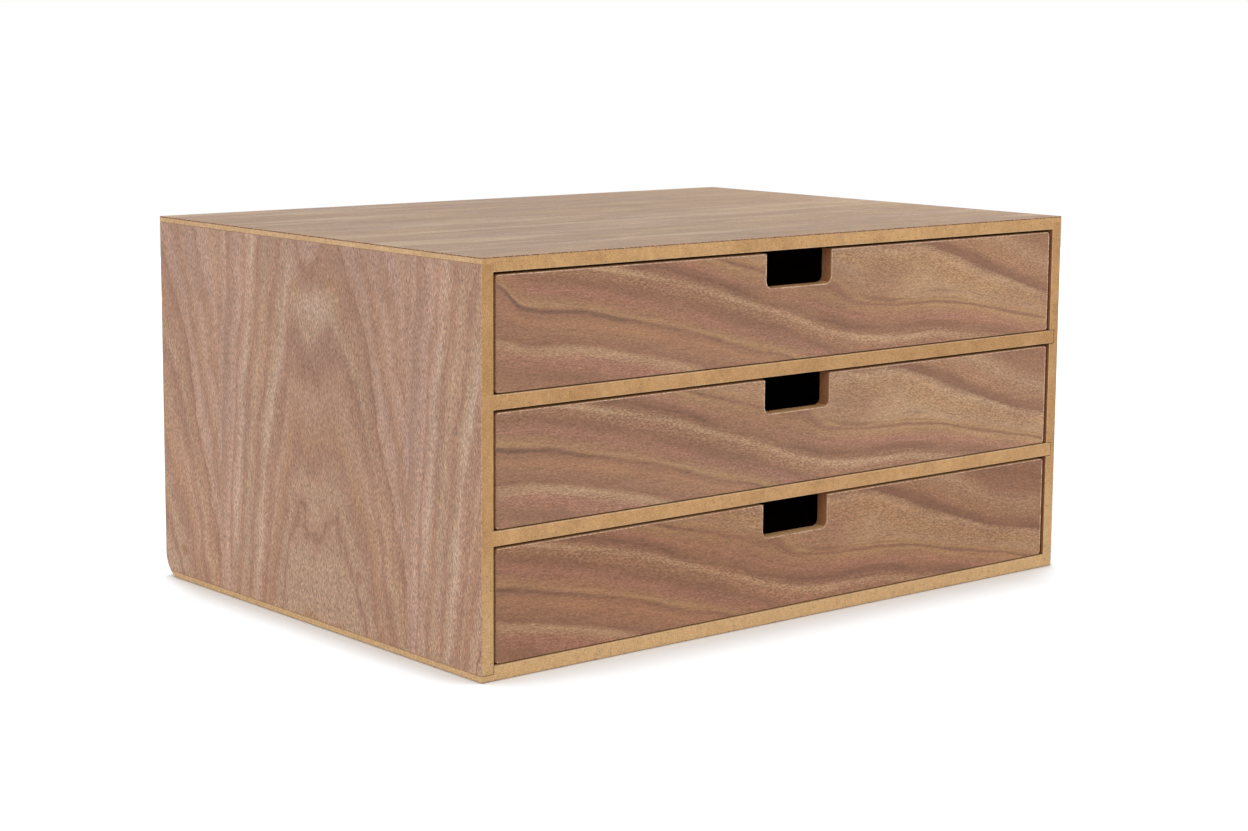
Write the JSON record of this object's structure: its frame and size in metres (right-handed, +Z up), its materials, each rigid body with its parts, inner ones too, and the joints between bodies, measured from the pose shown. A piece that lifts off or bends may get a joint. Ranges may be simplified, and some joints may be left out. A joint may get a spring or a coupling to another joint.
{
  "type": "desktop drawer unit",
  "caption": "Low desktop chest of shallow full-width drawers in walnut-veneered fibreboard, each with a square finger notch in the top edge of its flat front and raw board edges showing.",
  "frame": {"origin": "on the surface that the unit stands on, under the middle of the carcass", "axes": "+X to the right along the front, +Y from the drawer fronts to the back, +Z up"},
  "size_m": [0.37, 0.266, 0.182],
  "materials": {
    "raw_fibreboard": "raw sanded edge",
    "walnut_veneer": "satin oil"
  },
  "bodies": {
    "carcass": {"top_panel": "raw_fibreboard", "top_veneer": "walnut_veneer", "bottom_panel": "raw_fibreboard", "bottom_veneer": "walnut_veneer", "left_side_panel": "raw_fibreboard", "left_side_veneer": "walnut_veneer", "right_side_panel": "raw_fibreboard", "right_side_veneer": "walnut_veneer", "shelf_under_upper_drawer": "raw_fibreboard", "shelf_under_middle_drawer": "raw_fibreboard", "back_panel": "raw_fibreboard"},
    "upper_drawer": {"upper_drawer_front": "raw_fibreboard", "upper_drawer_front_veneer": "walnut_veneer", "upper_drawer_left_wall": "raw_fibreboard", "upper_drawer_right_wall": "raw_fibreboard", "upper_drawer_back_wall": "raw_fibreboard", "upper_drawer_base": "raw_fibreboard"},
    "middle_drawer": {"middle_drawer_front": "raw_fibreboard", "middle_drawer_front_veneer": "walnut_veneer", "middle_drawer_left_wall": "raw_fibreboard", "middle_drawer_right_wall": "raw_fibreboard", "middle_drawer_back_wall": "raw_fibreboard", "middle_drawer_base": "raw_fibreboard"},
    "lower_drawer": {"lower_drawer_front": "raw_fibreboard", "lower_drawer_front_veneer": "walnut_veneer", "lower_drawer_left_wall": "raw_fibreboard", "lower_drawer_right_wall": "raw_fibreboard", "lower_drawer_back_wall": "raw_fibreboard", "lower_drawer_base": "raw_fibreboard"}
  },
  "joints": [
    {"name": "upper_drawer_slide", "type": "slide", "parent": "carcass", "child": "upper_drawer", "axis": [0, -1, 0], "range_m": [0, 0.2]},
    {"name": "middle_drawer_slide", "type": "slide", "parent": "carcass", "child": "middle_drawer", "axis": [0, -1, 0], "range_m": [0, 0.2]},
    {"name": "lower_drawer_slide", "type": "slide", "parent": "carcass", "child": "lower_drawer", "axis": [0, -1, 0], "range_m": [0, 0.2]}
  ]
}
